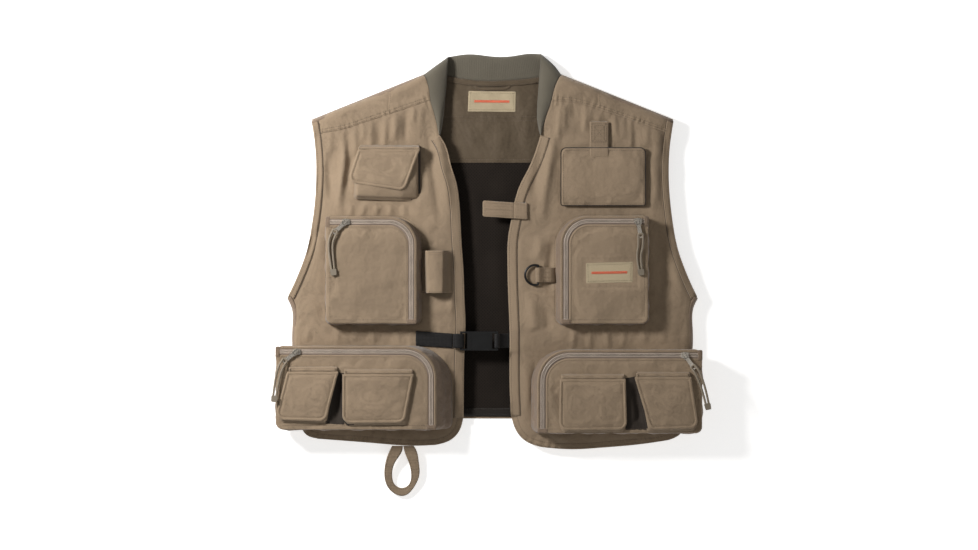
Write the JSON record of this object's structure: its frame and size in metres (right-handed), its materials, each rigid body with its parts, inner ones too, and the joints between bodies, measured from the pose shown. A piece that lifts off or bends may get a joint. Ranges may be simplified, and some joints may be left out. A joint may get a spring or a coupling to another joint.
{
  "type": "fishing vest",
  "caption": "Short cloth fishing vest lying on its back, with zipped and flapped pockets, a fold-down fly panel, a buckled waist strap, a D-ring and a rod loop.",
  "frame": {"origin": "on the centre back line, on the face that the vest rests on, level with the top of the chest pockets' lower half", "axes": "+Z out of the vest's front, +Y towards the collar, +X towards the wearer's left"},
  "size_m": [0.6181, 0.6326, 0.0625],
  "materials": {
    "poplin": "plain weave, washed",
    "mesh": "knitted mesh",
    "rib_knit": "ribbed knit",
    "label_cloth": "woven",
    "zip_tape": "woven tape with a nylon coil",
    "webbing": "woven webbing",
    "tan_webbing": "woven webbing",
    "cord": "braided cord",
    "grip_rubber": "moulded",
    "nickel": "antique nickel plate",
    "black_acetal": "moulded"
  },
  "bodies": {
    "vest": {"back_panel": "poplin", "mesh_lining": "mesh", "inner_yoke": "poplin", "neck_label": "label_cloth", "collar": "rib_knit", "right_front_panel": "poplin", "left_front_panel": "poplin", "front_yokes": "poplin", "side_panels": "poplin", "front_bindings": "poplin", "armhole_bindings": "poplin", "right_chest_pocket": "poplin", "right_chest_pocket_zipper": "zip_tape", "left_chest_pocket": "poplin", "left_chest_pocket_zipper": "zip_tape", "right_lower_pocket": "poplin", "right_lower_pocket_zipper": "zip_tape", "left_lower_pocket": "poplin", "left_lower_pocket_zipper": "zip_tape", "chest_label": "label_cloth", "right_flap_pockets": "poplin", "left_flap_pockets": "poplin", "chest_flap_pocket": "poplin", "patch_base": "poplin", "closure_tab_base": "tan_webbing", "rod_keeper": "poplin", "d_ring_tab": "tan_webbing", "waist_straps": "webbing", "buckle_female": "black_acetal"},
    "hanger_loop": {"hanger_loop": "tan_webbing"},
    "hem_loop": {"hem_loop": "tan_webbing"},
    "chest_flap": {"chest_flap": "poplin"},
    "right_outer_flap": {"right_outer_flap": "poplin"},
    "right_inner_flap": {"right_inner_flap": "poplin"},
    "left_inner_flap": {"left_inner_flap": "poplin"},
    "left_outer_flap": {"left_outer_flap": "poplin"},
    "fold_down_panel": {"fold_down_panel": "poplin"},
    "closure_tab": {"closure_tab": "tan_webbing"},
    "d_ring": {"d_ring": "black_acetal"},
    "buckle_plug": {"buckle_male": "black_acetal", "strap_fold": "webbing"},
    "upper_prong": {"upper_prong": "black_acetal"},
    "lower_prong": {"lower_prong": "black_acetal"},
    "right_chest_slider": {"right_chest_slider": "nickel"},
    "right_chest_pull": {"right_chest_pull_tab": "nickel", "right_chest_cord_pull": "cord", "right_chest_pull_grip": "grip_rubber"},
    "left_chest_slider": {"left_chest_slider": "nickel"},
    "left_chest_pull": {"left_chest_pull_tab": "nickel", "left_chest_cord_pull": "cord", "left_chest_pull_grip": "grip_rubber"},
    "right_lower_slider": {"right_lower_slider": "nickel"},
    "right_lower_pull": {"right_lower_pull_tab": "nickel", "right_lower_cord_pull": "cord", "right_lower_pull_grip": "grip_rubber"},
    "left_lower_slider": {"left_lower_slider": "nickel"},
    "left_lower_pull": {"left_lower_pull_tab": "nickel", "left_lower_cord_pull": "cord", "left_lower_pull_grip": "grip_rubber"}
  },
  "joints": [
    {"name": "hanger_loop_lift", "type": "hinge", "parent": "vest", "child": "hanger_loop", "pos_m": [0, 0.239, 0.0043], "axis": [-1, 0, 0], "range_deg": [0, 90]},
    {"name": "hem_loop_lift", "type": "hinge", "parent": "vest", "child": "hem_loop", "pos_m": [-0.1275, -0.281, 0.0189], "axis": [-1, 0, 0], "range_deg": [0, 85]},
    {"name": "chest_flap_lift", "type": "hinge", "parent": "vest", "child": "chest_flap", "pos_m": [-0.146, 0.1417, 0.0395], "axis": [-1, 0, 0], "range_deg": [0, 150]},
    {"name": "right_outer_flap_lift", "type": "hinge", "parent": "vest", "child": "right_outer_flap", "pos_m": [-0.253, -0.1718, 0.0565], "axis": [-1, 0, 0], "range_deg": [0, 150]},
    {"name": "right_inner_flap_lift", "type": "hinge", "parent": "vest", "child": "right_inner_flap", "pos_m": [-0.161, -0.1753, 0.0565], "axis": [-1, 0, 0], "range_deg": [0, 150]},
    {"name": "left_inner_flap_lift", "type": "hinge", "parent": "vest", "child": "left_inner_flap", "pos_m": [0.141, -0.1823, 0.0565], "axis": [-1, 0, 0], "range_deg": [0, 150]},
    {"name": "left_outer_flap_lift", "type": "hinge", "parent": "vest", "child": "left_outer_flap", "pos_m": [0.24, -0.1793, 0.0565], "axis": [-1, 0, 0], "range_deg": [0, 150]},
    {"name": "panel_fold_down", "type": "hinge", "parent": "vest", "child": "fold_down_panel", "pos_m": [0.157, 0.063, 0.0233], "axis": [1, 0, 0], "range_deg": [0, 100]},
    {"name": "closure_tab_peel", "type": "hinge", "parent": "vest", "child": "closure_tab", "pos_m": [0.0301, 0.056, 0.025], "axis": [0, 1, 0], "range_deg": [0, 160]},
    {"name": "d_ring_swing", "type": "hinge", "parent": "vest", "child": "d_ring", "pos_m": [0.0646, -0.0355, 0.0253], "axis": [0, 1, 0], "range_deg": [0, 150]},
    {"name": "buckle_pull_out", "type": "slide", "parent": "vest", "child": "buckle_plug", "axis": [-1, 0, 0], "range_m": [0, 0.022]},
    {"name": "upper_prong_squeeze", "type": "hinge", "parent": "buckle_plug", "child": "upper_prong", "pos_m": [-0.03, -0.1205, 0.027], "axis": [0, 0, -1], "range_deg": [0, 7], "stiffness_Nm_per_rad": 0.05},
    {"name": "lower_prong_squeeze", "type": "hinge", "parent": "buckle_plug", "child": "lower_prong", "pos_m": [-0.03, -0.1375, 0.027], "axis": [0, 0, 1], "range_deg": [0, 7], "stiffness_Nm_per_rad": 0.05},
    {"name": "right_chest_zip_slide", "type": "slide", "parent": "vest", "child": "right_chest_slider", "axis": [-1, 0, 0], "range_m": [-0.054, 0]},
    {"name": "right_chest_pull_lift", "type": "hinge", "parent": "right_chest_slider", "child": "right_chest_pull", "pos_m": [-0.207, 0.0396, 0.0476], "axis": [0.682, -0.7314, 0], "range_deg": [-100, 0]},
    {"name": "left_chest_zip_slide", "type": "slide", "parent": "vest", "child": "left_chest_slider", "axis": [1, 0, 0], "range_m": [-0.063, 0]},
    {"name": "left_chest_pull_lift", "type": "hinge", "parent": "left_chest_slider", "child": "left_chest_pull", "pos_m": [0.205, 0.0406, 0.0476], "axis": [0.9848, 0.1736, 0], "range_deg": [-100, 0]},
    {"name": "right_lower_zip_slide", "type": "slide", "parent": "vest", "child": "right_lower_slider", "axis": [-1, 0, 0], "range_m": [-0.146, 0]},
    {"name": "right_lower_pull_lift", "type": "hinge", "parent": "right_lower_slider", "child": "right_lower_pull", "pos_m": [-0.276, -0.1434, 0.0536], "axis": [0.6157, -0.788, 0], "range_deg": [-100, 0]},
    {"name": "left_lower_zip_slide", "type": "slide", "parent": "vest", "child": "left_lower_slider", "axis": [1, 0, 0], "range_m": [-0.156, 0]},
    {"name": "left_lower_pull_lift", "type": "hinge", "parent": "left_lower_slider", "child": "left_lower_pull", "pos_m": [0.2705, -0.1484, 0.0536], "axis": [0.809, 0.5878, 0], "range_deg": [-100, 0]}
  ],
  "couplings": [
    {"joint": "lower_prong_squeeze", "follows": "upper_prong_squeeze", "ratio": 1}
  ]
}
